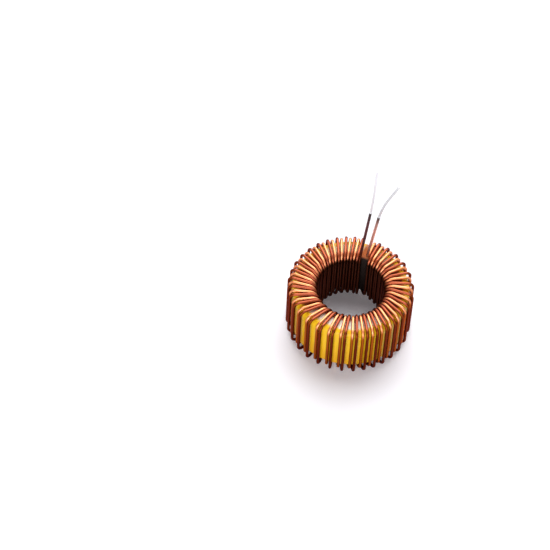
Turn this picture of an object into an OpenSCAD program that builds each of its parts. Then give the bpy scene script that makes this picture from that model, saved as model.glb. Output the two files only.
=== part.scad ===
// Toroidal inductor: a pressed powder ring core wound twice round with enamelled copper wire.
// The ring lies flat. The origin is on its axis, in the plane that the winding rests on.
// Millimetres and degrees. Azimuths run anticlockwise from +X, seen from above.

/* [Core] */
// Outside diameter of the bare core
core_od = 20.2; // [19:0.1:26]
// Inside diameter of the bare core
core_id = 12.6; // [11:0.1:14]
// Height of the bare core
core_h = 9.53; // [5:0.01:16]
// Radius of the core's rounded edges
core_edge = 1; // [0.3:0.05:1.1]

/* [Wire] */
// Diameter of the wire over its enamel
wire_d = 0.5; // [0.45:0.01:0.6]
// Thickness of the enamel
enamel_t = 0.025; // [0.02:0.005:0.06]
// Thickness of the tin on the stripped ends
tin_t = 0.01; // [0.005:0.005:0.015]

/* [Winding] */
// Clearance between neighbouring wires where they crowd together in the bore
turn_gap = 0.05; // [0.04:0.01:0.12]
// Clearance between the first round and the second, which lies over it
round_gap = 0.05; // [0.04:0.01:0.2]
// Step towards the axis of the second round's wires in the bore
bore_stagger = 0.15; // [0.1:0.05:0.3]
// Sideways step at the rim from a wire of the second round to its partner in the first
pair_step = 0.7; // [0.6:0.05:0.9]
// Gap between the wire and the core's round walls
wall_bow = 0.05; // [0.04:0.01:0.1]
// Gap between the wire and the core's flat faces
face_bow = 0.15; // [0.1:0.05:0.4]
// Gap between the wire and the core's rounded edges, where it bears on them
edge_seat = 0.04; // [0.02:0.01:0.04]
// Angle by which each turn slants as it crosses the top face
slant = 7.3; // [4:0.1:9]
// Largest angle by which the hand-wound turns wander along the rim
rim_sway = 6; // [0:0.5:7]

/* [Leads] */
// Azimuth of the starting lead
lead_az = 69; // [0:1:359]
// Height of the starting lead's tip over the wire on the top face
start_lead_h = 18.2; // [14:0.1:40]
// Height of the finishing lead's tip over the wire on the top face
finish_lead_h = 20.8; // [14:0.1:40]
// Height of the stripped and tinned end of the starting lead
start_bare_h = 7.5; // [6:0.1:11]
// Height of the stripped and tinned end of the finishing lead
finish_bare_h = 9.9; // [6:0.1:11]
// Lean of the starting lead towards +X
start_lean = 7.7; // [0:0.1:15]
// Lean of the finishing lead towards +X
finish_lean = 5.5; // [-10:0.1:7]
// Lean of both leads outwards, towards +Y
back_lean = 5.7; // [0:0.1:10]
// Height at which the leads' ends begin to curve
curve_from_h = 10; // [4:0.1:12]
// Radius to which the starting lead's end curves, towards +X
start_curve_r = 18.5; // [15:0.5:200]
// Radius to which the finishing lead's end curves, back towards -X
finish_curve_r = 100; // [40:1:500]
// Length of the straight, round pin at each tip
pin_len = 2.5; // [1:0.1:4]

/* [Hidden] */
$fn = 96;

// The wire has an eight-sided section with flats towards the core and its neighbours.
sides = 8;
wire_r = wire_d / 2;
bare_r = wire_r - enamel_t;
tinned_r = bare_r + tin_t;

// The first round lies a little off the core. It bears on the two rounded edges of the bore,
// and is bent tighter at the rim, where it stands off the edges.
seat_slack = wall_bow + face_bow - edge_seat;
seat_share = 2 * (wall_bow - edge_seat) * (face_bow - edge_seat);
bore_bend_r = core_edge + wire_r + seat_slack + sqrt(seat_share);
rim_tightness = 0.7;
rim_bend_r = rim_tightness * bore_bend_r;
top_arc_steps = 3;
bottom_arc_steps = 2;

// Centre lines of the wire along the bore, the rim and the two faces, one for each round
round_step = wire_d + round_gap;
core_z = round_step + wire_d + face_bow;
first_bore_r = core_id / 2 - wire_r - wall_bow;
first_rim_r = core_od / 2 + wire_r + wall_bow;
bore_r = [first_bore_r, first_bore_r - bore_stagger];
rim_r = [first_rim_r, first_rim_r + round_step];
bottom_z = [wire_r + round_step, wire_r];
top_z = [for (z = bottom_z) 2 * core_z + core_h - z];

// The bore is full: it has a pair of slots, one for each round, as often as they fit round it.
pairs = floor(PI * first_bore_r / (wire_d + turn_gap));
turns = 2 * pairs - 2;
pitch = 360 / pairs;
pair_angle = pair_step / first_rim_r * 180 / PI;

// Wandering of the turns: three waves round the ring, each with its own share and phase
wave_share = [1, 0.5, 0.4];
wave_phase = [50, 70, 0];
// In the bore the wires wander only within half the clearance between them.
sway_share = 1 / 2;
bore_sway = sway_share * turn_gap / first_bore_r / sin(pitch / 2);
bore_sway_deg = bore_sway * 180 / PI;

// Leads: spacing of the rings of the sweep, height of the first one, length of the enamel's
// tapered end, straight stretch below each pin and how far the pin is let into it
ring_step = 1.5;
first_ring_h = 2;
enamel_taper = 0.1;
pin_socket = 1.5;
pin_overlap = 1;

function unit(v) = v / norm(v);
function polar(r, az, z) = [r * cos(az), r * sin(az), z];
function reverse(list) = [for (i = [len(list) - 1 : -1 : 0]) list[i]];

function rim_wave(turn_az) =
    rim_sway * (wave_share[0] * sin(turn_az + wave_phase[0])
              + wave_share[1] * sin(2 * turn_az + wave_phase[1])
              + wave_share[2] * sin(3 * turn_az + wave_phase[2]));

function bore_wave(turn_az) =
    bore_sway_deg * (sin(turn_az + wave_phase[0]) - sin(wave_phase[0]));

// Each pitch has two slots in the bore. The first round takes the even ones and the second
// the odd ones, so the wire steps on by five slots where it passes the leads, and the end
// rises in the last even one.
function round_of(turn) = turn < pairs - 1 ? 0 : 1;
function slot(turn) = 2 * turn + (round_of(turn) == 0 ? 0 : turn < turns ? 3 : 2);
function slot_az(turn) =
    let (turn_az = slot(turn) * pitch / 2)
    lead_az - turn_az + bore_wave(turn_az);

// At the rim, a wire of the second round and the next one of the first form a pair.
function rim_az(turn) =
    let (turn_az = (turn + 2 * round_of(turn)) * pitch)
    lead_az - turn_az + pitch / 2 - slant + rim_wave(turn_az)
    - (1 - round_of(turn)) * pair_angle;

// The four corners of a turn, from the bore over the top, down the rim and back underneath
function turn_corners(turn) =
    let (now = round_of(turn), next = round_of(turn + 1))
    [
        polar(bore_r[now], slot_az(turn), top_z[now]),
        polar(rim_r[now], rim_az(turn), top_z[now]),
        polar(rim_r[now], rim_az(turn), bottom_z[now]),
        polar(bore_r[next], slot_az(turn + 1), bottom_z[now])
    ];

// Radius and number of chords of the bend at each of a turn's corners
corner_bends = [
    [bore_bend_r, top_arc_steps],
    [rim_bend_r, top_arc_steps],
    [rim_bend_r, bottom_arc_steps],
    [bore_bend_r, bottom_arc_steps]
];

// A lead is listed as its root, height, enamel height, lean and radius of its curved end.
start_lead = [polar(bore_r[0], slot_az(0), top_z[0]),
              start_lead_h, start_lead_h - start_bare_h, start_lean, start_curve_r];
finish_lead = [polar(bore_r[1], slot_az(turns), top_z[1]),
               finish_lead_h, finish_lead_h - finish_bare_h, finish_lean, -finish_curve_r];

// Centre of a lead at a height over its root: a straight lean, then a curved end
function lead_point(lead, h) =
    lead[0] + [h * tan(lead[3]) + pow(max(0, h - curve_from_h), 2) / (2 * lead[4]),
               h * tan(back_lean),
               h];

// Points of a lead between two heights, both included
function lead_points(lead, h0, h1) =
    let (steps = max(1, round((h1 - h0) / ring_step)))
    [for (i = [0 : steps]) lead_point(lead, h0 + (h1 - h0) * i / steps)];

// The straight end of a lead: where it begins, where its round pin begins, and its tip
function lead_end(lead) =
    let (
        foot = lead_point(lead, lead[1] - pin_len - pin_socket),
        tip = lead_point(lead, lead[1])
    )
    [foot, tip - pin_len * unit(tip - foot), tip];

function enamelled_points(lead) = lead_points(lead, first_ring_h, lead[2]);
function bare_points(lead) = concat(
    lead_points(lead, lead[2] + enamel_taper, lead[1] - pin_len - pin_socket),
    [lead_end(lead)[1]]);

// Bend at corner b of the line a-b-c. Its chords touch the true arc from outside.
function bend_points(a, b, c, bend_r, arc_steps) =
    let (
        u = unit(b - a),
        v = unit(c - b),
        turn_angle = acos(u * v),
        step = turn_angle / arc_steps,
        n = unit(v - (u * v) * u),
        centre = b - bend_r * tan(turn_angle / 2) * u + bend_r * n,
        chord_r = bend_r / cos(step / 2)
    )
    [for (i = [0 : arc_steps - 1])
        centre + chord_r * (sin((i + 0.5) * step) * u - cos((i + 0.5) * step) * n)];

// Ring i of a sweep: its section is mitred between the two stretches that meet there.
function sweep_ring(path, radii, i) =
    let (
        last = len(path) - 1,
        before = unit(path[max(i, 1)] - path[max(i, 1) - 1]),
        after = unit(path[min(i, last - 1) + 1] - path[min(i, last - 1)]),
        along = unit(before + after),
        turned = after - before,
        bend_way = norm(turned) < 1e-6 ? [0, 0, 0] : unit(turned),
        stretch = 1 / (before * along) - 1,
        level = min(1, pow(norm([along[0], along[1]]) / cos(45 / bottom_arc_steps), 2)),
        round_core = unit([-path[i][1], path[i][0], 0]),
        across = [-along[1], along[0], 0],
        facing = level * sign(across * round_core) * across + (1 - level) * round_core,
        side = unit(facing - (facing * along) * along),
        up = cross(side, along),
        corner_r = radii[i] / cos(180 / sides)
    )
    [for (j = [0 : sides - 1])
        let (
            around = (j + 0.5) * 360 / sides,
            arm = corner_r * (cos(around) * side + sin(around) * up)
        )
        path[i] + arm + stretch * (arm * bend_way) * bend_way];

// Closed tube along a path, with one radius for each point
module sweep(path, radii) {
    rings = len(path);
    points = [for (i = [0 : rings - 1]) each sweep_ring(path, radii, i)];
    walls = [for (i = [0 : rings - 2], j = [0 : sides - 1])
        let (k = (j + 1) % sides)
        [i * sides + j, i * sides + k, (i + 1) * sides + k, (i + 1) * sides + j]];
    start_cap = [for (j = [sides - 1 : -1 : 0]) j];
    end_cap = [for (j = [0 : sides - 1]) (rings - 1) * sides + j];
    polyhedron(points, concat([start_cap], walls, [end_cap]), convexity = 10);
}

// Cylinder from one point to another
module rod(from, to, r) {
    way = to - from;
    translate(from)
        rotate([0, acos(way[2] / norm(way)), atan2(way[1], way[0])])
            cylinder(h = norm(way), r = r);
}

// Round pin on the tip of a lead, let into the end of the sweep
module lead_pin(lead) {
    end = lead_end(lead);
    rod(end[1] - pin_overlap * unit(end[2] - end[1]), end[2], bare_r);
}

// Rounded section of the core, beside the axis
module core_section() {
    core_r = core_od / 2;
    hole_r = core_id / 2;
    translate([hole_r, core_edge])
        square([core_r - hole_r, core_h - 2 * core_edge]);
    translate([hole_r + core_edge, 0])
        square([core_r - hole_r - 2 * core_edge, core_h]);
    for (x = [hole_r + core_edge, core_r - core_edge], y = [core_edge, core_h - core_edge])
        translate([x, y])
            circle(core_edge);
}

module toroid_core() {
    color("gold")
        translate([0, 0, core_z])
            rotate_extrude()
                core_section();
}

// One wire: down the starting lead, round the core and up the finishing lead
module winding() {
    start_bare = reverse(bare_points(start_lead));
    start_enamel = reverse(enamelled_points(start_lead));
    finish_enamel = concat([finish_lead[0]], enamelled_points(finish_lead));
    finish_bare = bare_points(finish_lead);

    corners = concat(
        [start_enamel[len(start_enamel) - 1]],
        [for (turn = [0 : turns - 1]) each turn_corners(turn)],
        [finish_lead[0]]);
    bends = [for (i = [1 : len(corners) - 2])
        let (bend = corner_bends[(i - 1) % 4])
        each bend_points(corners[i - 1], corners[i], corners[i + 1], bend[0], bend[1])];

    enamelled = concat(start_enamel, bends, finish_enamel);
    path = concat(start_bare, enamelled, finish_bare);
    radii = concat(
        [for (p = start_bare) tinned_r],
        [for (p = enamelled) wire_r],
        [for (p = finish_bare) tinned_r]);

    color("saddlebrown")
        sweep(path, radii);
    color("silver") {
        lead_pin(start_lead);
        lead_pin(finish_lead);
    }
}

toroid_core();
winding();
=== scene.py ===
"""Toroidal inductor: the finish of its core, its wound wire, and the studio it stands in.

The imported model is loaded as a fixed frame. The core keeps its CAD mesh and gets a painted
finish. The wire is a fine round tube, wound as the CAD winding that it stands for is, but with its
second round drawn in closer to the core and its pairs spread a little at the ring's sides.
"""
import math
import bpy  # noqa: E402
import numpy as np  # noqa: E402
from mathutils import Matrix, Vector  # noqa: E402


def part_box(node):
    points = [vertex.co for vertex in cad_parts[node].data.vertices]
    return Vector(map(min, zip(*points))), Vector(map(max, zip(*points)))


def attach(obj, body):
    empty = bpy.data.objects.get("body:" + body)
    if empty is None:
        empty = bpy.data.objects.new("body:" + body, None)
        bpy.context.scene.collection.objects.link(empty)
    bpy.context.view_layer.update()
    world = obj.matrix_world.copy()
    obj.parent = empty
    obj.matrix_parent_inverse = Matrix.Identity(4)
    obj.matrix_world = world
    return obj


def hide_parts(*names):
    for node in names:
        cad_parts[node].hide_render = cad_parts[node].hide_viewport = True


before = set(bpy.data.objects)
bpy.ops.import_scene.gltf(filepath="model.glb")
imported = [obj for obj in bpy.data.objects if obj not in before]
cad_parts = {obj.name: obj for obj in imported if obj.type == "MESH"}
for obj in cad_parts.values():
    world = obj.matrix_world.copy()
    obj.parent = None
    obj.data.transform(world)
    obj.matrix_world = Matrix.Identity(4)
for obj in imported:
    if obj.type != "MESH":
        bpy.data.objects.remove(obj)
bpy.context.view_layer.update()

bl_info = {
    "name": "Toroidal inductor",
    "version": (1, 0, 0),
    "blender": (4, 5, 0),
    "location": "3D View > Sidebar > Inductor",
    "description": "Finishes a ring core inductor: painted core, enamelled winding and studio",
    "category": "Object",
}

MM = 0.001
CORE_LOW, CORE_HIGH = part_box("toroid_core")
CORE_OUTER_R = (CORE_HIGH.x - CORE_LOW.x) / 2


def inner_radius(node):
    """Smallest distance of a node's vertices from the Z axis."""
    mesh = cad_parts[node].data
    co = np.empty(len(mesh.vertices) * 3)
    mesh.vertices.foreach_get("co", co)
    return float(np.hypot(co[0::3], co[1::3]).min())


CORE_INNER_R = inner_radius("toroid_core")
# Of the starting lead, which the painted shade under the leads goes by too
LEAD_AZIMUTH = math.radians(69)


# ---------------------------------------------------------------- settings


class WireSettings(bpy.types.PropertyGroup):
    """Sizes and colours of the wound wire."""

    wire_d: bpy.props.FloatProperty(
        name="Wire diameter", description="Diameter over the enamel",
        default=0.5 * MM, min=0.0, unit="LENGTH", precision=5)
    enamel_t: bpy.props.FloatProperty(
        name="Enamel", description="Thickness of the enamel",
        default=0.025 * MM, min=0.0, unit="LENGTH", precision=6)
    turn_gap: bpy.props.FloatProperty(
        name="Turn gap", description="Clearance between neighbouring wires in the bore",
        default=0.05 * MM, min=0.0, unit="LENGTH", precision=5)
    round_gap: bpy.props.FloatProperty(
        name="Round gap", description="Clearance between the first round and the one over it",
        default=0.05 * MM, min=0.0, unit="LENGTH", precision=5)
    bore_stagger: bpy.props.FloatProperty(
        name="Bore stagger", description="Step towards the axis of the second round in the bore",
        default=0.15 * MM, unit="LENGTH", precision=5)
    pair_step: bpy.props.FloatProperty(
        name="Pair step", description="Sideways step at the rim between the wires of a pair",
        default=0.7 * MM, unit="LENGTH", precision=5)
    side_spread: bpy.props.FloatProperty(
        name="Side spread", description="Share by which the step grows at the ring's two sides",
        default=0.38, subtype="FACTOR")
    rim_draw: bpy.props.FloatProperty(
        name="Rim draw", description="How far the second round is drawn in at the rim",
        default=0.3 * MM, unit="LENGTH", precision=5)
    top_draw: bpy.props.FloatProperty(
        name="Top draw", description="How far the second round sinks between the first on top",
        default=0.5 * MM, unit="LENGTH", precision=5)
    wall_gap: bpy.props.FloatProperty(
        name="Wall gap", description="Gap between the first round and the core's round walls",
        default=0.05 * MM, min=0.0, unit="LENGTH", precision=5)
    face_gap: bpy.props.FloatProperty(
        name="Face gap", description="Gap between the first round and the core's flat faces",
        default=0.15 * MM, min=0.0, unit="LENGTH", precision=5)
    bore_bend_r: bpy.props.FloatProperty(
        name="Bore bend",
        description="Radius of the wire's centre line where it bends into the bore",
        default=1.457 * MM, min=0.0, unit="LENGTH", precision=6)
    rim_bend_r: bpy.props.FloatProperty(
        name="Rim bend",
        description="Radius of the wire's centre line where it bends over the rim",
        default=1.02 * MM, min=0.0, unit="LENGTH", precision=6)
    slant: bpy.props.FloatProperty(
        name="Slant", description="Angle by which each turn slants as it crosses the top face",
        default=math.radians(7.3), subtype="ANGLE")
    rim_sway: bpy.props.FloatProperty(
        name="Rim sway", description="Largest angle by which the turns wander along the rim",
        default=math.radians(6), subtype="ANGLE")
    enamel: bpy.props.FloatVectorProperty(
        name="Enamel", description="Colour of the first round",
        default=(0.82, 0.32, 0.14), size=3, subtype="COLOR", min=0, max=1)
    enamel_deep: bpy.props.FloatVectorProperty(
        name="Deep enamel", description="Colour of the first round where its enamel is thicker",
        default=(0.73, 0.23, 0.075), size=3, subtype="COLOR", min=0, max=1)
    dark_enamel: bpy.props.FloatVectorProperty(
        name="Dark enamel", description="Colour of the second round",
        default=(0.33, 0.060, 0.011), size=3, subtype="COLOR", min=0, max=1)
    dark_enamel_deep: bpy.props.FloatVectorProperty(
        name="Deep dark enamel", description="Colour of the second round where it is thicker",
        default=(0.23, 0.033, 0.005), size=3, subtype="COLOR", min=0, max=1)
    # Painted shade: the wire on the outer wall and the second round's outer bends take these
    # darker colours
    shaded_wall_enamel: bpy.props.FloatVectorProperty(
        name="Wall enamel", description="Colour of the first round on the outer wall",
        default=(0.44, 0.11, 0.012), size=3, subtype="COLOR", min=0, max=1)
    dark_shaded_wall_enamel: bpy.props.FloatVectorProperty(
        name="Dark wall enamel", description="Colour of the second round on the outer wall",
        default=(0.17, 0.028, 0.002), size=3, subtype="COLOR", min=0, max=1)
    # Painted shade: the wire in the ring's hole is darkened to the shade that falls there
    shaded_bore_enamel: bpy.props.FloatVectorProperty(
        name="Bore enamel", description="Colour of the wire inside the ring's hole",
        default=(0.11, 0.032, 0.016), size=3, subtype="COLOR", min=0, max=1)
    # The start lead's pale salmon is a painted highlight and the finish lead's dark plum is
    # painted shade
    start_lead_painted_highlight: bpy.props.FloatVectorProperty(
        name="Start lead enamel", description="Colour of the start lead, paled by the tinning",
        default=(0.96, 0.56, 0.47), size=3, subtype="COLOR", min=0, max=1)
    finish_lead_painted_shade: bpy.props.FloatVectorProperty(
        name="Finish lead enamel", description="Colour of the finish lead, browned by the tinning",
        default=(0.19, 0.085, 0.098), size=3, subtype="COLOR", min=0, max=1)
    edge_tint: bpy.props.FloatVectorProperty(
        name="Edge tint", description="Tint of the wire where it is seen at a grazing angle",
        default=(0.30, 0.10, 0.05), size=3, subtype="COLOR", min=0, max=1)
    scorch: bpy.props.FloatVectorProperty(
        name="Scorched enamel", description="Colour of the enamel's ends, scorched by tinning",
        default=(0.040, 0.034, 0.034), size=3, subtype="COLOR", min=0, max=1)
    start_tin: bpy.props.FloatVectorProperty(
        name="Start tin", description="Colour of the start lead's tinned end",
        default=(0.615, 0.615, 0.625), size=3, subtype="COLOR", min=0, max=1)
    finish_tin: bpy.props.FloatVectorProperty(
        name="Finish tin", description="Colour of the finish lead's tinned end",
        default=(0.77, 0.77, 0.79), size=3, subtype="COLOR", min=0, max=1)


class LeadSettings(bpy.types.PropertyGroup):
    """The two leads: heights are over the wire's centre line on the top face."""

    azimuth: bpy.props.FloatProperty(
        name="Azimuth", description="Azimuth of the starting lead",
        default=LEAD_AZIMUTH, subtype="ANGLE")
    back_lean: bpy.props.FloatProperty(
        name="Back lean", description="Lean of both leads towards +Y",
        default=math.radians(5.7), subtype="ANGLE")
    curve_from: bpy.props.FloatProperty(
        name="Curve from", description="Height at which the leads' ends begin to curve",
        default=10 * MM, unit="LENGTH")
    pin_len: bpy.props.FloatProperty(
        name="Straight tip", description="Length of the straight pin at each tip",
        default=2.5 * MM, unit="LENGTH")
    start_h: bpy.props.FloatProperty(
        name="Start height", description="Height of the starting lead's tip",
        default=18.2 * MM, unit="LENGTH")
    start_bare_h: bpy.props.FloatProperty(
        name="Start bare", description="Height of the starting lead's stripped end",
        default=7.5 * MM, unit="LENGTH")
    start_lean: bpy.props.FloatProperty(
        name="Start lean", description="Lean of the starting lead towards +X",
        default=math.radians(7.7), subtype="ANGLE")
    start_curve_r: bpy.props.FloatProperty(
        name="Start curve", description="Radius of the starting lead's curved end",
        default=18.5 * MM, unit="LENGTH")
    finish_h: bpy.props.FloatProperty(
        name="Finish height", description="Height of the finishing lead's tip",
        default=20.8 * MM, unit="LENGTH")
    finish_bare_h: bpy.props.FloatProperty(
        name="Finish bare", description="Height of the finishing lead's stripped end",
        default=9.9 * MM, unit="LENGTH")
    finish_lean: bpy.props.FloatProperty(
        name="Finish lean", description="Lean of the finishing lead towards +X",
        default=math.radians(5.5), subtype="ANGLE")
    finish_curve_r: bpy.props.FloatProperty(
        name="Finish curve", description="Radius of the finishing lead's end, back towards -X",
        default=100 * MM, unit="LENGTH")


class CoreSettings(bpy.types.PropertyGroup):
    """Colours of the painted core."""

    coat: bpy.props.FloatVectorProperty(
        name="Coat", description="Colour of the paint on the core's walls and underside",
        default=(1.0, 0.60, 0.012), size=3, subtype="COLOR", min=0, max=1)
    # Painted shade: the lower wall takes this darker colour, moved up and down by the mottle's
    # random patches
    coat_low_shade: bpy.props.FloatVectorProperty(
        name="Deep coat", description="Colour of the paint where it has run thicker",
        default=(0.84, 0.42, 0.006), size=3, subtype="COLOR", min=0, max=1)
    face: bpy.props.FloatVectorProperty(
        name="Face", description="Colour of the pale upper face",
        default=(0.97, 0.90, 0.74), size=3, subtype="COLOR", min=0, max=1)
    rear_face: bpy.props.FloatVectorProperty(
        name="Rear face",
        description="Colour of the upper face at the rear, yellower than in front",
        default=(0.95, 0.80, 0.46), size=3, subtype="COLOR", min=0, max=1)
    # Painted shade: this brown darkens the face where the wires and the leads shade it, and next
    # to the bore
    shaded_face: bpy.props.FloatVectorProperty(
        name="Stained face", description="Colour of the upper face where its coat is thin",
        default=(0.36, 0.10, 0.03), size=3, subtype="COLOR", min=0, max=1)
    # Painted shade: the bore wall is coloured near black for the shade inside the ring's hole
    painted_bore_shade: bpy.props.FloatVectorProperty(
        name="Bore", description="Colour of the bare powder in the bore",
        default=(0.02, 0.012, 0.01), size=3, subtype="COLOR", min=0, max=1)
    face_edge: bpy.props.FloatProperty(
        name="Face edge", description="Depth below the top at which the pale face gives way",
        default=0.05 * MM, unit="LENGTH", precision=5)


class StageSettings(bpy.types.PropertyGroup):
    """Floor, lamps and camera."""

    floor: bpy.props.FloatVectorProperty(
        name="Floor", description="Colour of the floor",
        default=(0.92, 0.915, 0.96), size=3, subtype="COLOR", min=0, max=1)
    floor_bounce: bpy.props.FloatVectorProperty(
        name="Floor bounce", description="Colour of the floor for the light that it throws back",
        default=(0.40, 0.40, 0.41), size=3, subtype="COLOR", min=0, max=1)
    elevation: bpy.props.FloatProperty(
        name="Elevation", description="Height of the camera over the horizon",
        default=math.radians(54), subtype="ANGLE")
    roll: bpy.props.FloatProperty(
        name="Roll", description="Turn of the camera about its line of sight",
        default=math.radians(5.37), subtype="ANGLE")
    distance: bpy.props.FloatProperty(
        name="Distance", description="From the camera to the middle of the ring",
        default=319.4 * MM, unit="LENGTH")


# ---------------------------------------------------------------- the wire's route

# Three waves round the ring make the hand-wound turns wander: periods, share and phase of each
WAVE_PERIODS = (1, 2, 3)
WAVE_SHARE = np.array([1.0, 0.5, 0.4])
WAVE_PHASE = np.radians([50.0, 70.0, 0.0])
BEND_STEPS = 9
# Up the leads: the step between points, the lowest height, the taper at the enamel's end, how
# much longer the straight end is than its pin, and how many points divide it
LEAD_STEP = 0.4 * MM
FIRST_LEAD_H = 2 * MM
ENAMEL_TAPER = 0.1 * MM
PIN_SOCKET = 1.5 * MM
PIN_STEPS = 8
# The edge of each tip is rounded off by this radius, at these angles from its side to its end
TIP_ROUND = 0.12 * MM
TIP_STEPS = np.radians([90, 60, 35, 15, 0])


def polar(r, azimuth, z):
    """Points at radius r, azimuth and height z, as rows of x, y, z."""
    r, azimuth, z = np.broadcast_arrays(r, azimuth, z)
    return np.stack([r * np.cos(azimuth), r * np.sin(azimuth), z], axis=-1)


def unit(v):
    """Rows of v, each divided by its length."""
    return v / np.linalg.norm(v, axis=-1, keepdims=True)


def dot(a, b):
    """Dot product of matching rows, kept as a column."""
    return (a * b).sum(axis=-1, keepdims=True)


class Winding:
    """The radii, heights and azimuths of the turns, which go round the core twice.

    The first round lies against the core and the second over it. In the bore the wires of both
    stand side by side: the first round takes the even slots and the second the odd ones. Each
    radius and height is a pair, for the first round and the second. As many pairs of wires go
    round as fit in the bore, and the leads stand in the place of two turns.
    """

    def __init__(self, wire, leads):
        r = wire.wire_d / 2
        first_bore_r = CORE_INNER_R - r - wire.wall_gap
        first_rim_r = CORE_OUTER_R + r + wire.wall_gap
        step = np.array([0.0, wire.wire_d + wire.round_gap])
        self.bore_r = first_bore_r - np.array([0.0, wire.bore_stagger])
        self.rim_r = first_rim_r + step - np.array([0.0, wire.rim_draw])
        self.root_z = CORE_HIGH.z + wire.face_gap + r + step
        self.top_z = self.root_z - np.array([0.0, wire.top_draw])
        self.bottom_z = CORE_LOW.z - wire.face_gap - r - step
        self.pairs = int(math.pi * first_bore_r / (wire.wire_d + wire.turn_gap))
        self.turns = 2 * self.pairs - 2
        self.pitch = 2 * math.pi / self.pairs
        self.pair_angle = wire.pair_step / first_rim_r
        self.side_spread = wire.side_spread
        self.bore_sway = wire.turn_gap / 2 / first_bore_r / math.sin(self.pitch / 2)
        self.rim_sway = wire.rim_sway
        self.slant = wire.slant
        self.azimuth = leads.azimuth

    def round_of(self, turn):
        """0 for the turns of the first round and 1 for those of the second."""
        return (turn >= self.pairs - 1).astype(int)

    def slot_azimuth(self, turn):
        """Even spacing round the bore by half a pitch a slot, plus one small wave.

        The second round starts three slots on, past the leads, and the end steps back by one.
        """
        a = self.pitch / 2 * (2 * turn + (3 - (turn == self.turns)) * self.round_of(turn))
        wave = np.sin(a + WAVE_PHASE[0]) - np.sin(WAVE_PHASE[0])
        return self.azimuth - a + self.bore_sway * wave

    def rim_azimuth(self, turn):
        """Even spacing less the slant, plus three waves.

        A wire of the first round stands a small angle aside from its partner in the second,
        and a little more on the ring's left and right.
        """
        second = self.round_of(turn)
        a = self.pitch * (turn + 2 * second)
        waves = WAVE_SHARE * np.sin(np.multiply.outer(a, WAVE_PERIODS) + WAVE_PHASE)
        aside = self.pair_angle * (1 + self.side_spread * np.cos(self.azimuth - a) ** 2)
        return (self.azimuth - a + self.pitch / 2 - self.slant
                + self.rim_sway * waves.sum(axis=-1) - (1 - second) * aside)

    def corners(self):
        """Four corners a turn: over the bore, over the rim, under the rim and under the bore."""
        turn = np.arange(self.turns)
        now, after = self.round_of(turn), self.round_of(turn + 1)
        corners = np.stack([
            polar(self.bore_r[now], self.slot_azimuth(turn), self.top_z[now]),
            polar(self.rim_r[now], self.rim_azimuth(turn), self.top_z[now]),
            polar(self.rim_r[now], self.rim_azimuth(turn), self.bottom_z[now]),
            polar(self.bore_r[after], self.slot_azimuth(turn + 1), self.bottom_z[now])], axis=1)
        return corners.reshape(-1, 3)

    def lead_root(self, turn):
        """Where a lead leaves the winding: the top of its slot in the bore."""
        turn = np.array(turn)
        layer = self.round_of(turn)
        return polar(self.bore_r[layer], self.slot_azimuth(turn), self.root_z[layer])


def lead_point(root, height, lean, curve_r, leads):
    """A lead at some heights: a straight lean, then a parabola of radius curve_r at its foot."""
    height = np.asarray(height, float)
    past = np.maximum(0.0, height - leads.curve_from)
    x = height * math.tan(lean) + past ** 2 / (2 * curve_r)
    return root + np.stack([x, height * math.tan(leads.back_lean), height], axis=-1)


def lead_points(root, low, tip, bare_h, lean, curve_r, leads):
    """Points up a lead, and which of them are bare.

    The lead follows lead_point up to its straight end, which runs to the tip. The enamel
    tapers off over a short stretch, so two points stand close together there.
    """
    enamel = tip - bare_h
    straight = tip - leads.pin_len - PIN_SOCKET
    below = np.linspace(low, enamel, int((enamel - low) / LEAD_STEP))
    above = np.linspace(enamel + ENAMEL_TAPER, straight, int((straight - enamel) / LEAD_STEP))
    foot = lead_point(root, straight, lean, curve_r, leads)
    end = lead_point(root, tip, lean, curve_r, leads)
    run = np.linalg.norm(end - foot)
    round_off = TIP_ROUND * (1 - np.cos(TIP_STEPS))
    far = np.concatenate([np.linspace(0, run - TIP_ROUND, PIN_STEPS)[1:-1], run - round_off])
    points = np.concatenate([
        lead_point(root, below, lean, curve_r, leads),
        lead_point(root, above, lean, curve_r, leads),
        foot + np.outer(far / run, end - foot)])
    bare = np.arange(len(points)) >= len(below)
    return points, bare


def bend_arcs(corners, bend_r):
    """Arc of its own radius r at each inner corner of a line of corners.

    With u and v the unit ways in and out and n the part of v across u, the arc's centre is
    at the corner less r tan(a/2) u plus r n, and its points are at centre + r (u sin t - n cos t).
    """
    u = unit(corners[1:-1] - corners[:-2])
    v = unit(corners[2:] - corners[1:-1])
    angle = np.arccos(dot(u, v))
    n = unit(v - dot(u, v) * u)
    r = bend_r[:, None]
    centre = corners[1:-1] - r * np.tan(angle / 2) * u + r * n
    t = angle * np.linspace(0, 1, BEND_STEPS + 1)
    turned = np.sin(t)[..., None] * u[:, None] - np.cos(t)[..., None] * n[:, None]
    return (centre[:, None] + r[..., None] * turned).reshape(-1, 3)


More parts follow.
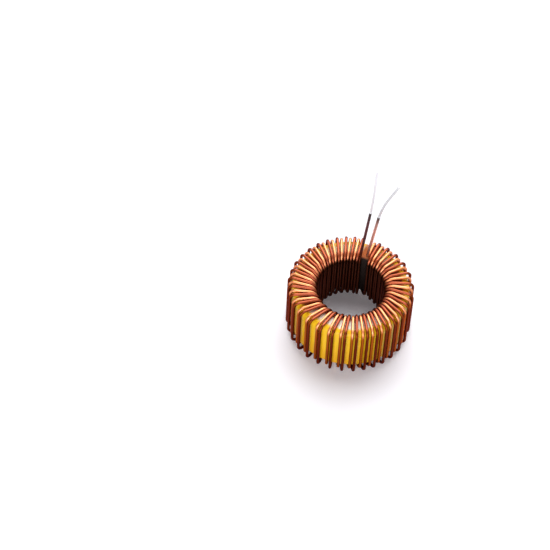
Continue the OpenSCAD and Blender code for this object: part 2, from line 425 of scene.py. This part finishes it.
def wire_route(wire, leads):
    """Centre line of the wire from tip to tip, its bare points and those of its second round.

    It comes down the starting lead, bends round the four corners of each turn in order, and
    goes up the finishing lead.
    """
    winding = Winding(wire, leads)
    start_root = winding.lead_root(0)
    finish_root = winding.lead_root(winding.turns)
    start, start_bare = lead_points(
        start_root, FIRST_LEAD_H, leads.start_h, leads.start_bare_h,
        leads.start_lean, leads.start_curve_r, leads)
    finish, finish_bare = lead_points(
        finish_root, FIRST_LEAD_H, leads.finish_h, leads.finish_bare_h,
        leads.finish_lean, -leads.finish_curve_r, leads)
    corners = np.concatenate([start[:1], winding.corners(), [finish_root]])
    one_turn = [wire.bore_bend_r, wire.rim_bend_r, wire.rim_bend_r, wire.bore_bend_r]
    arcs = bend_arcs(corners, np.array(one_turn * winding.turns))
    route = np.concatenate([start[::-1], arcs, [finish_root], finish])
    bare = np.concatenate([start_bare[::-1], np.zeros(len(arcs) + 1, bool), finish_bare])
    first = len(start) + (winding.pairs - 1) * 4 * (BEND_STEPS + 1)
    return route, bare, np.arange(len(route)) >= first


# ---------------------------------------------------------------- meshes

TUBE_SIDES = 22
# Below this change of direction, in radians, a line of points runs straight on
STRAIGHT = 1e-6
# Length over which the enamel's end is scorched: on the starting and the finishing lead
SCORCH_LEN = (3.4 * MM, 4.6 * MM)


def tube(points, radii, sides):
    """Round tube along a line of points, as an array of rings (point, side, xyz).

    Each ring stands across the mean of the ways in and out, starts from the sideways direction
    round the Z axis, and is stretched along the bend by 1 / cos of half the turn, as in a mitre.
    """
    ways = unit(np.diff(points, axis=0))
    before = np.concatenate([ways[:1], ways])
    after = np.concatenate([ways, ways[-1:]])
    along = unit(before + after)
    round_axis = unit(np.stack([-points[:, 1], points[:, 0], np.zeros(len(points))], axis=-1))
    side = unit(round_axis - dot(round_axis, along) * along)
    up = np.cross(side, along)
    t = np.linspace(0, 2 * math.pi, sides, endpoint=False)
    rings = np.cos(t)[:, None] * side[:, None] + np.sin(t)[:, None] * up[:, None]
    rings = rings * np.asarray(radii)[:, None, None]
    bend = after - before
    size = np.linalg.norm(bend, axis=-1, keepdims=True)
    bend = np.divide(bend, size, out=np.zeros_like(bend), where=size > STRAIGHT)
    stretch = 1 / dot(before, along) - 1
    rings += stretch[:, None] * dot(rings, bend[:, None]) * bend[:, None]
    return points[:, None] + rings


def tube_faces(count, sides):
    """Quads between neighbouring rings, and one flat cap on each end ring."""
    i, j = np.meshgrid(np.arange(count - 1), np.arange(sides), indexing="ij")
    k = (j + 1) % sides
    quads = np.stack([i * sides + j, (i + 1) * sides + j, (i + 1) * sides + k, i * sides + k], -1)
    first = list(range(sides))
    last = list(range((count - 1) * sides, count * sides))[::-1]
    return quads.reshape(-1, 4).tolist() + [first, last]


def wire_radii(bare, wire):
    """Radius at each point of the wire: less by the enamel where it is bare, rounded at its tips.

    Each tip's last radii fall by the rounding radius times 1 - sin of the steps' angles.
    """
    r = wire.wire_d / 2
    radii = np.where(bare, r - wire.enamel_t, r)
    rounded = TIP_ROUND * (1 - np.sin(TIP_STEPS))
    radii[-len(rounded):] -= rounded
    radii[:len(rounded)] -= rounded[::-1]
    return radii


def point_attribute(mesh, name, kind, field, values):
    """Give each vertex of a mesh its own value under a name."""
    attribute = mesh.attributes.new(name, kind, "POINT")
    attribute.data.foreach_set(field, values.astype(np.float32).ravel())


def mark_wire(mesh, route, bare, second):
    """What the wire's materials read at each ring of its tube, and which material each face has.

    wire_place is the length along the wire in millimetres with the cosine and the sine of the
    angle round it, scorch falls evenly from 1 at each end of the enamel to 0 at its scorched
    length, and second_round is 1 on the second round. Faces of bare wire and both caps are
    tinned.
    """
    length = np.concatenate([[0], np.cumsum(np.linalg.norm(np.diff(route, axis=0), axis=1))])
    around = np.linspace(0, 2 * math.pi, TUBE_SIDES, endpoint=False)
    along = np.broadcast_to(length[:, None] / MM, (len(route), TUBE_SIDES))
    place = np.stack(np.broadcast_arrays(along, np.cos(around), np.sin(around)), axis=-1)
    ends = length[np.flatnonzero(~bare)[[0, -1]]]
    away = np.abs(length[:, None] - ends) / SCORCH_LEN
    burnt = np.clip(1 - away.min(axis=1), 0, 1)
    point_attribute(mesh, "wire_place", "FLOAT_VECTOR", "vector", place)
    point_attribute(mesh, "scorch", "FLOAT", "value", np.repeat(burnt, TUBE_SIDES))
    point_attribute(mesh, "second_round", "FLOAT", "value", np.repeat(second, TUBE_SIDES))
    tinned = np.repeat(bare[:-1] | bare[1:], TUBE_SIDES)
    slots = np.concatenate([tinned, [True, True]]).astype(np.int32)
    mesh.polygons.foreach_set("material_index", slots)


def new_piece(name, co, faces, materials):
    """A smooth mesh object with its place in its mesh, riding on the root body."""
    mesh = bpy.data.meshes.new(name)
    mesh.from_pydata(co.reshape(-1, 3).tolist(), [], faces)
    mesh.update()
    mesh.shade_smooth()
    piece = bpy.data.objects.new(name, mesh)
    bpy.context.scene.collection.objects.link(piece)
    for material in materials:
        mesh.materials.append(material)
    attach(piece, "root")
    return piece


# ---------------------------------------------------------------- materials

# Most of a noise lies in the first of these spans, and the enamel runs thick below the second
NOISE_SPAN = (0.3, 0.7)
ENAMEL_RUNS = (0.35, 0.65)

# Where the painted shade on the wall and in the bore, and the leads' painted light, begin:
# heights, and distances from the upright axis
BORE_WIRE_Z = (10.1 * MM, 11.1 * MM)
BORE_WIRE_R = (7.4 * MM, 8.0 * MM)
WALL_WIRE_Z = (9.7 * MM, 11.0 * MM)
WALL_WIRE_R = (8.5 * MM, 9.5 * MM)
RIM_WIRE_R = (9.8 * MM, 10.4 * MM)
LEAD_WIRE_Z = (11.8 * MM, 15 * MM)

# The gold paint is darkened below these heights as painted shade, and the heights drift with the
# mottle
GOLD_SHADE_Z = (4 * MM, 12 * MM)
GOLD_DRIFT = 6 * MM

# Edges of the pale coat: half its fade and its fray downwards, its end and its fray outwards
FACE_FADE = 0.03 * MM
FACE_FRAY_Z = 0.12 * MM
FACE_R = (CORE_OUTER_R - 1.5 * MM, CORE_OUTER_R - 0.8 * MM)
FACE_FRAY_R = 1.2 * MM

# Painted shade darkens the face brown at the ring's sides, by the share of the radius that lies
# across, at the rear within some distance of the leads, and next to the bore, from where the
# brown painted shade runs down
SIDE_SHARE = (0.55, 0.85)
SIDE_FRAY = 0.3
REAR_Y = (0.0, 4 * MM)
UNDER_LEADS = (1.2 * MM, 1.9 * MM)
BORE_EDGE_R = (CORE_INNER_R + 0.8 * MM, CORE_INNER_R + 1.5 * MM)
SHADE_DOWN_Z = (CORE_HIGH.z - 1.5 * MM, CORE_HIGH.z - 0.8 * MM)

# Inside these radii the core is painted near black as the shade in the bore
BORE_R = (CORE_INNER_R + 0.2 * MM, CORE_INNER_R + 0.6 * MM)

# Roughness from the smoothest to the roughest spot
WIRE_ROUGHNESS = (0.34, 0.42)
TIN_ROUGHNESS = (0.35, 0.45)
PAINT_ROUGHNESS = (0.32, 0.5)
PAPER_ROUGHNESS = 0.8
COAT_ROUGHNESS = 0.25

# Weight of the clear coat on the wire's top, on its upright runs and on the paint
TOP_COAT = 0.6
# The low weight on the upright runs takes their reflection away, darkening the wire on the wall
# and in the bore as painted shade
UPRIGHT_COAT = 0.1
PAINT_COAT = 0.15
ENAMEL_IOR = 1.5

# Specular level of the paint and the paper, which shine less than plain plastic does
LOW_SPECULAR = 0.2

# Share of their brightness that the dull spots keep
DULL_TIN = 0.9
DULL_FACE = 0.93
DULL_PAPER = 0.99

# The paper's own faint light, for the rays that see it straight
PAPER_GLOW = (0.98, 0.95, 1.0)
GLOW_STRENGTH = 0.12


def add(tree, kind, inputs=None, **settings):
    """A new node. Each input is a plain value, or a socket to link to it."""
    node = tree.nodes.new(kind)
    for name, value in settings.items():
        setattr(node, name, value)
    for name, value in (inputs or {}).items():
        if isinstance(value, bpy.types.NodeSocket):
            tree.links.new(value, node.inputs[name])
        else:
            node.inputs[name].default_value = value
    return node


def new_material(name):
    """A material whose node tree holds only its output."""
    material = bpy.data.materials.new(name)
    material.use_nodes = True
    tree = material.node_tree
    tree.nodes.clear()
    return material, tree, tree.nodes.new("ShaderNodeOutputMaterial")


def noise(tree, place, scale, detail=3.0, roughness=0.5):
    """Noise between 0 and 1 at a place, with that many features to the unit."""
    node = add(tree, "ShaderNodeTexNoise",
               {"Vector": place, "Scale": scale, "Detail": detail, "Roughness": roughness})
    return node.outputs["Fac"]


def stretched(tree, place, scale):
    """A place multiplied by a scale on each axis."""
    return add(tree, "ShaderNodeMapping", {"Vector": place, "Scale": scale}).outputs["Vector"]


def remap(tree, value, low, high, to_low=0.0, to_high=1.0):
    """The value taken smoothly from one range to another."""
    node = add(tree, "ShaderNodeMapRange", {
        "Value": value, "From Min": low, "From Max": high, "To Min": to_low, "To Max": to_high},
        interpolation_type="SMOOTHSTEP")
    return node.outputs["Result"]


def rise(tree, value, span):
    """A mask that goes from 0 to 1 as the value goes up through a span."""
    return remap(tree, value, *span)


def fall(tree, value, span):
    """A mask that goes from 1 to 0 as the value goes up through a span."""
    return remap(tree, value, *span, 1.0, 0.0)


def mix(tree, factor, a, b):
    """Colour a turning to colour b as the factor goes from 0 to 1.

    Input 0 of the node is its factor, and inputs 6 and 7 and output 2 are its colours.
    """
    node = add(tree, "ShaderNodeMix", data_type="RGBA")
    for socket, value in ((node.inputs[0], factor), (node.inputs[6], a), (node.inputs[7], b)):
        if isinstance(value, bpy.types.NodeSocket):
            tree.links.new(value, socket)
        else:
            socket.default_value = value
    return node.outputs[2]


def combine(tree, operation, a, b=0.0, c=0.0):
    """One step of arithmetic on two or three values."""
    return add(tree, "ShaderNodeMath", {0: a, 1: b, 2: c}, operation=operation).outputs[0]


def both(tree, a, b):
    """Where two masks meet: their product."""
    return combine(tree, "MULTIPLY", a, b)


def either(tree, a, b):
    """Where one mask or the other is: the larger of the two."""
    return combine(tree, "MAXIMUM", a, b)


def frayed(tree, value, pattern, reach):
    """A value moved to and fro by a noise, over a reach from end to end."""
    return combine(tree, "MULTIPLY_ADD", combine(tree, "SUBTRACT", pattern, 0.5), reach, value)


def mesh_value(tree, name, output="Fac"):
    """An attribute of the piece's mesh."""
    return add(tree, "ShaderNodeAttribute", attribute_name=name).outputs[output]


def flat_length(tree, place):
    """Distance of a place from the upright axis."""
    x, y, _ = add(tree, "ShaderNodeSeparateXYZ", {0: place}).outputs
    flat = add(tree, "ShaderNodeCombineXYZ", {"X": x, "Y": y}).outputs[0]
    return add(tree, "ShaderNodeVectorMath", {0: flat}, operation="LENGTH").outputs["Value"]


def rgba(colour, share=1.0):
    """A colour darkened to a share of itself, with full alpha."""
    return (*(share * part for part in colour), 1.0)


def bump(tree, height, distance, strength=1.0):
    """Normals of a surface raised by the height times a distance."""
    node = add(tree, "ShaderNodeBump",
               {"Height": height, "Distance": distance, "Strength": strength})
    return node.outputs["Normal"]


def surface(tree, output, inputs):
    """Give the material's output a Principled shader with these inputs."""
    shader = add(tree, "ShaderNodeBsdfPrincipled", inputs)
    tree.links.new(shader.outputs[0], output.inputs["Surface"])


def seen_straight(tree):
    """1 for the rays of the camera, of mirrors and of glass, and 0 for those that light things."""
    rays = add(tree, "ShaderNodeLightPath").outputs
    mirror_or_glass = either(tree, rays["Is Glossy Ray"], rays["Is Transmission Ray"])
    return either(tree, rays["Is Camera Ray"], mirror_or_glass)


def enamelled_copper(wire):
    """Copper under clear enamel, which is deeper in colour where it has run thick.

    The first round is pale and the second brown. Both are darker on the outer wall and darkest in
    the bore, which is painted shade. The start lead carries a painted highlight and the finish
    lead painted shade, and the enamel's ends are scorched.
    """
    material, tree, output = new_material("enamelled_copper")
    place = mesh_value(tree, "wire_place", "Vector")
    second = mesh_value(tree, "second_round")
    runs = noise(tree, stretched(tree, place, scale=(0.35, 1.6, 1.6)), scale=1.0)
    marks = noise(tree, stretched(tree, place, scale=(0.5, 14.0, 14.0)), scale=1.0, detail=2.0)
    spot = add(tree, "ShaderNodeTexCoord").outputs["Object"]
    height = add(tree, "ShaderNodeSeparateXYZ", {0: spot}).outputs["Z"]
    radius = flat_length(tree, spot)

    # Masks for the painted shade: in the bore, on the outer wall and on the second round's outer
    # bends
    in_bore = both(tree, fall(tree, height, BORE_WIRE_Z), fall(tree, radius, BORE_WIRE_R))
    on_wall = both(tree, fall(tree, height, WALL_WIRE_Z), rise(tree, radius, WALL_WIRE_R))
    on_wall = either(tree, on_wall, both(tree, second, rise(tree, radius, RIM_WIRE_R)))
    upright = either(tree, in_bore, on_wall)

    thin = rise(tree, runs, ENAMEL_RUNS)
    pale = mix(tree, thin, rgba(wire.enamel_deep), rgba(wire.enamel))
    dark = mix(tree, thin, rgba(wire.dark_enamel_deep), rgba(wire.dark_enamel))
    # Painted shade on the outer wall
    wall = mix(tree, second, rgba(wire.shaded_wall_enamel), rgba(wire.dark_shaded_wall_enamel))
    # The leads' painted highlight and painted shade, above the winding
    lead = mix(tree, second, rgba(wire.start_lead_painted_highlight), rgba(wire.finish_lead_painted_shade))
    colour = mix(tree, second, pale, dark)
    colour = mix(tree, on_wall, colour, wall)
    colour = mix(tree, rise(tree, height, LEAD_WIRE_Z), colour, lead)
    # Painted shade in the bore
    colour = mix(tree, in_bore, colour, rgba(wire.shaded_bore_enamel))
    colour = mix(tree, mesh_value(tree, "scorch"), colour, rgba(wire.scorch))
    surface(tree, output, {
        "Base Color": colour,
        "Metallic": 1.0,
        "Specular Tint": rgba(wire.edge_tint),
        "Roughness": remap(tree, marks, *NOISE_SPAN, *WIRE_ROUGHNESS),
        "Coat Weight": remap(tree, upright, 0.0, 1.0, TOP_COAT, UPRIGHT_COAT),
        "Coat Roughness": COAT_ROUGHNESS,
        "Coat IOR": ENAMEL_IOR,
        "Normal": bump(tree, marks, distance=0.002 * MM, strength=0.6)})
    return material


def tinned_copper(wire):
    """Solder on the stripped ends: soft silver with slow runs and a fine drawn grain."""
    material, tree, output = new_material("tinned_copper")
    place = mesh_value(tree, "wire_place", "Vector")
    second = mesh_value(tree, "second_round")
    runs = noise(tree, stretched(tree, place, scale=(0.8, 2.0, 2.0)), scale=1.0)
    grain = noise(tree, stretched(tree, place, scale=(2.0, 16.0, 16.0)), scale=1.0)
    dull, bright = (
        mix(tree, second, rgba(wire.start_tin, share), rgba(wire.finish_tin, share))
        for share in (DULL_TIN, 1.0))
    surface(tree, output, {
        "Base Color": mix(tree, rise(tree, runs, NOISE_SPAN), dull, bright),
        "Metallic": 1.0,
        "Roughness": remap(tree, grain, *NOISE_SPAN, *TIN_ROUGHNESS),
        "Normal": bump(tree, runs, distance=0.03 * MM, strength=0.5)})
    return material


def core_paint(core):
    """Golden paint over pressed powder, with a pale coat on the flat of the upper face.

    The pale coat frays at its outer edge and is yellower at the rear. At the ring's two sides,
    under the leads and next to the bore it is painted brown as shade, and the painted shade runs
    a little way down. The bore is painted near black as shade.
    """
    material, tree, output = new_material("core_paint")
    place = add(tree, "ShaderNodeTexCoord").outputs["Object"]
    x, y, height = add(tree, "ShaderNodeSeparateXYZ", {0: place}).outputs
    radius = flat_length(tree, place)
    mottle = noise(tree, place, scale=0.5 / MM, detail=4.0)
    ragged = noise(tree, place, scale=1.4 / MM, detail=5.0, roughness=0.65)
    grain = noise(tree, place, scale=9.0 / MM, detail=3.0, roughness=0.6)

    edge = CORE_HIGH.z - core.face_edge
    on_flat = rise(tree, frayed(tree, height, ragged, FACE_FRAY_Z),
                   (edge - FACE_FADE, edge + FACE_FADE))
    pale = both(tree, on_flat, fall(tree, frayed(tree, radius, ragged, FACE_FRAY_R), FACE_R))
    rear = rise(tree, y, REAR_Y)
    share = combine(tree, "DIVIDE", combine(tree, "ABSOLUTE", x), radius)
    at_sides = rise(tree, frayed(tree, share, mottle, SIDE_FRAY), SIDE_SHARE)
    aside = combine(tree, "SUBTRACT", combine(tree, "MULTIPLY", x, math.sin(LEAD_AZIMUTH)),
                    combine(tree, "MULTIPLY", y, math.cos(LEAD_AZIMUTH)))
    under_leads = both(tree, fall(tree, combine(tree, "ABSOLUTE", aside), UNDER_LEADS), rear)
    by_bore = fall(tree, radius, BORE_EDGE_R)
    in_bore = fall(tree, radius, BORE_R)
    # Where the face is painted with shade
    shade_mask = either(tree, at_sides, under_leads)
    shade_down = both(tree, either(tree, by_bore, under_leads), rise(tree, height, SHADE_DOWN_Z))
    matt = either(tree, in_bore, both(tree, pale, shade_mask))

    # Painted shade towards the bottom of the wall, with the mottle's random patches
    drift = combine(tree, "MULTIPLY_ADD", mottle, GOLD_DRIFT, height)
    gold = mix(tree, rise(tree, drift, GOLD_SHADE_Z), rgba(core.coat_low_shade), rgba(core.coat))
    # The painted shade runs down the wall under the leads and by the bore
    gold = mix(tree, shade_down, gold, rgba(core.shaded_face))
    face = mix(tree, rise(tree, mottle, NOISE_SPAN), rgba(core.face, DULL_FACE), rgba(core.face))
    face = mix(tree, rear, face, rgba(core.rear_face))
    # Painted shade on the face
    face = mix(tree, shade_mask, face, rgba(core.shaded_face))
    face = mix(tree, by_bore, face, rgba(core.shaded_face))
    surface(tree, output, {
        # Painted shade on the bore wall
        "Base Color": mix(tree, in_bore, mix(tree, pale, gold, face), rgba(core.painted_bore_shade)),
        "Roughness": either(tree, matt, remap(tree, grain, *NOISE_SPAN, *PAINT_ROUGHNESS)),
        "Specular IOR Level": LOW_SPECULAR,
        "Coat Weight": combine(tree, "MULTIPLY", combine(tree, "SUBTRACT", 1.0, matt), PAINT_COAT),
        "Coat Roughness": COAT_ROUGHNESS,
        "Normal": bump(tree, grain, distance=0.02 * MM, strength=0.5)})
    return material


def floor_paper(stage):
    """Pale paper with a barely visible tooth, which glows faintly where it is seen straight."""
    material, tree, output = new_material("floor_paper")
    place = add(tree, "ShaderNodeTexCoord").outputs["Object"]
    tooth = noise(tree, place, scale=2.0 / MM, detail=4.0)
    seen = seen_straight(tree)
    paper = mix(tree, tooth, rgba(stage.floor, DULL_PAPER), rgba(stage.floor))
    surface(tree, output, {
        "Base Color": mix(tree, seen, rgba(stage.floor_bounce), paper),
        "Roughness": PAPER_ROUGHNESS,
        "Specular IOR Level": LOW_SPECULAR,
        "Emission Color": rgba(PAPER_GLOW),
        "Emission Strength": combine(tree, "MULTIPLY", seen, GLOW_STRENGTH)})
    return material


# ---------------------------------------------------------------- the studio

# The frame is square; the lens and the ring's place in it are in its pixels
FRAME_PX = 550
FOCAL_PX = 1849
RING_PX = (349.4, 302.6)
SENSOR_MM = 36
CLIP_START = 10 * MM
RING_CENTRE = Vector((0, 0, 5.965 * MM))
FLOOR_HALF = 1.5
# Place, side and radiance of each lamp, where a white card in plain light has 1
KEY_LAMP = ((0.02, 0.385, 0.460), 0.80, 3.7)
FILL_LAMP = ((-0.08, -0.58, 0.190), 0.55, 4.1)
# Colour of the sky, its strength as it lights things, and as it is seen
SKY = ((0.98, 0.99, 1.0), 0.05, 0.85)


def area_lamp(name, place, size, radiance):
    """A square lamp aimed at the ring, whose lit face is as bright as a white card times radiance.

    A flat lamp of power P and area A has a radiance of P / (pi A).
    """
    lamp = bpy.data.lights.new(name, "AREA")
    lamp.shape = "SQUARE"
    lamp.size = size
    lamp.energy = radiance * math.pi * size ** 2
    holder = bpy.data.objects.new(name, lamp)
    holder.location = place
    holder.rotation_euler = (RING_CENTRE - Vector(place)).to_track_quat("-Z", "Y").to_euler()
    bpy.context.scene.collection.objects.link(holder)


def floor_sheet(material):
    """A flat square floor at z = 0."""
    corners = FLOOR_HALF * np.array([[-1, -1, 0], [1, -1, 0], [1, 1, 0], [-1, 1, 0]])
    mesh = bpy.data.meshes.new("floor")
    mesh.from_pydata(corners.tolist(), [], [(0, 1, 2, 3)])
    mesh.materials.append(material)
    floor = bpy.data.objects.new("floor", mesh)
    bpy.context.scene.collection.objects.link(floor)


def sky(colour, strength, seen_strength):
    """An even pale sky that lights the scene less than it shows."""
    world = bpy.data.worlds.new("studio_sky")
    world.use_nodes = True
    tree = world.node_tree
    background = tree.nodes["Background"]
    background.inputs["Color"].default_value = rgba(colour)
    shown = remap(tree, seen_straight(tree), 0.0, 1.0, strength, seen_strength)
    tree.links.new(shown, background.inputs["Strength"])
    bpy.context.scene.world = world


def camera_turn(stage):
    """The way back from the ring to the camera, and the turn that puts the ring at RING_PX.

    The view from the front at the elevation is rolled about the sight line to the ring, and
    then turned so that this line passes through the pixel.
    """
    back = Vector((0, -math.cos(stage.elevation), math.sin(stage.elevation)))
    right = Vector((1, 0, 0))
    level = Matrix((right, back.cross(right), back)).transposed()
    middle = FRAME_PX / 2
    sight = Vector(((RING_PX[0] - middle) / FOCAL_PX, (middle - RING_PX[1]) / FOCAL_PX, -1))
    aside = Vector((0, 0, -1)).rotation_difference(sight).to_matrix()
    turn = level @ Matrix.Rotation(stage.roll, 3, "Z") @ aside.transposed()
    return back, turn


def place_camera(stage):
    """A long lens on the ring from the front, above it."""
    camera = bpy.data.cameras.new("camera")
    camera.sensor_width = SENSOR_MM
    camera.lens = FOCAL_PX * SENSOR_MM / FRAME_PX
    camera.clip_start = CLIP_START
    holder = bpy.data.objects.new("camera", camera)
    back, turn = camera_turn(stage)
    holder.matrix_world = Matrix.Translation(RING_CENTRE + back * stage.distance) @ turn.to_4x4()
    bpy.context.scene.collection.objects.link(holder)
    bpy.context.scene.camera = holder


# ---------------------------------------------------------------- operators and panel


class INDUCTOR_OT_finish_core(bpy.types.Operator):
    """Paint the CAD core."""
    bl_idname = "inductor.finish_core"
    bl_label = "Finish core"

    def execute(self, context):
        paint = core_paint(context.scene.inductor_core)
        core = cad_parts["toroid_core"].data
        core.materials.clear()
        core.materials.append(paint)
        core.polygons.foreach_set("material_index", np.zeros(len(core.polygons), np.int32))
        return {"FINISHED"}


class INDUCTOR_OT_wind_wire(bpy.types.Operator):
    """Wind the wire round the core, from the tip of one lead to the tip of the other."""
    bl_idname = "inductor.wind_wire"
    bl_label = "Wind wire"

    def execute(self, context):
        wire = context.scene.inductor_wire
        route, bare, second = wire_route(wire, context.scene.inductor_leads)
        rings = tube(route, wire_radii(bare, wire), TUBE_SIDES)
        piece = new_piece("magnet_wire", rings, tube_faces(len(route), TUBE_SIDES),
                          [enamelled_copper(wire), tinned_copper(wire)])
        mark_wire(piece.data, route, bare, second)
        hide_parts("winding")
        return {"FINISHED"}


class INDUCTOR_OT_set_stage(bpy.types.Operator):
    """Lay the floor, and set the lamps, sky and camera."""
    bl_idname = "inductor.set_stage"
    bl_label = "Set stage"

    def execute(self, context):
        stage = context.scene.inductor_stage
        floor_sheet(floor_paper(stage))
        sky(*SKY)
        area_lamp("key_lamp", *KEY_LAMP)
        area_lamp("fill_lamp", *FILL_LAMP)
        place_camera(stage)
        context.scene.view_settings.view_transform = "Standard"
        return {"FINISHED"}


OPERATORS = (INDUCTOR_OT_finish_core, INDUCTOR_OT_wind_wire, INDUCTOR_OT_set_stage)
SETTINGS = {"inductor_wire": WireSettings, "inductor_leads": LeadSettings,
            "inductor_core": CoreSettings, "inductor_stage": StageSettings}


class INDUCTOR_PT_panel(bpy.types.Panel):
    """Buttons for the pieces and the stage."""
    bl_idname = "INDUCTOR_PT_panel"
    bl_label = "Toroidal inductor"
    bl_space_type = "VIEW_3D"
    bl_region_type = "UI"
    bl_category = "Inductor"

    def draw(self, context):
        for operator in OPERATORS:
            self.layout.operator(operator.bl_idname)
        for name, group in SETTINGS.items():
            box = self.layout.box()
            for prop in group.__annotations__:
                box.prop(getattr(context.scene, name), prop)


CLASSES = (*SETTINGS.values(), *OPERATORS, INDUCTOR_PT_panel)


def register():
    """Register the classes and hang the settings on the scene."""
    for cls in CLASSES:
        bpy.utils.register_class(cls)
    for name, group in SETTINGS.items():
        setattr(bpy.types.Scene, name, bpy.props.PointerProperty(type=group))


def unregister():
    """Undo register."""
    for name in SETTINGS:
        delattr(bpy.types.Scene, name)
    for cls in reversed(CLASSES):
        bpy.utils.unregister_class(cls)


def main():
    """Build the pieces and the stage."""
    register()
    bpy.ops.inductor.finish_core()
    bpy.ops.inductor.wind_wire()
    bpy.ops.inductor.set_stage()
    bpy.context.view_layer.update()


if __name__ == "__main__":
    main()
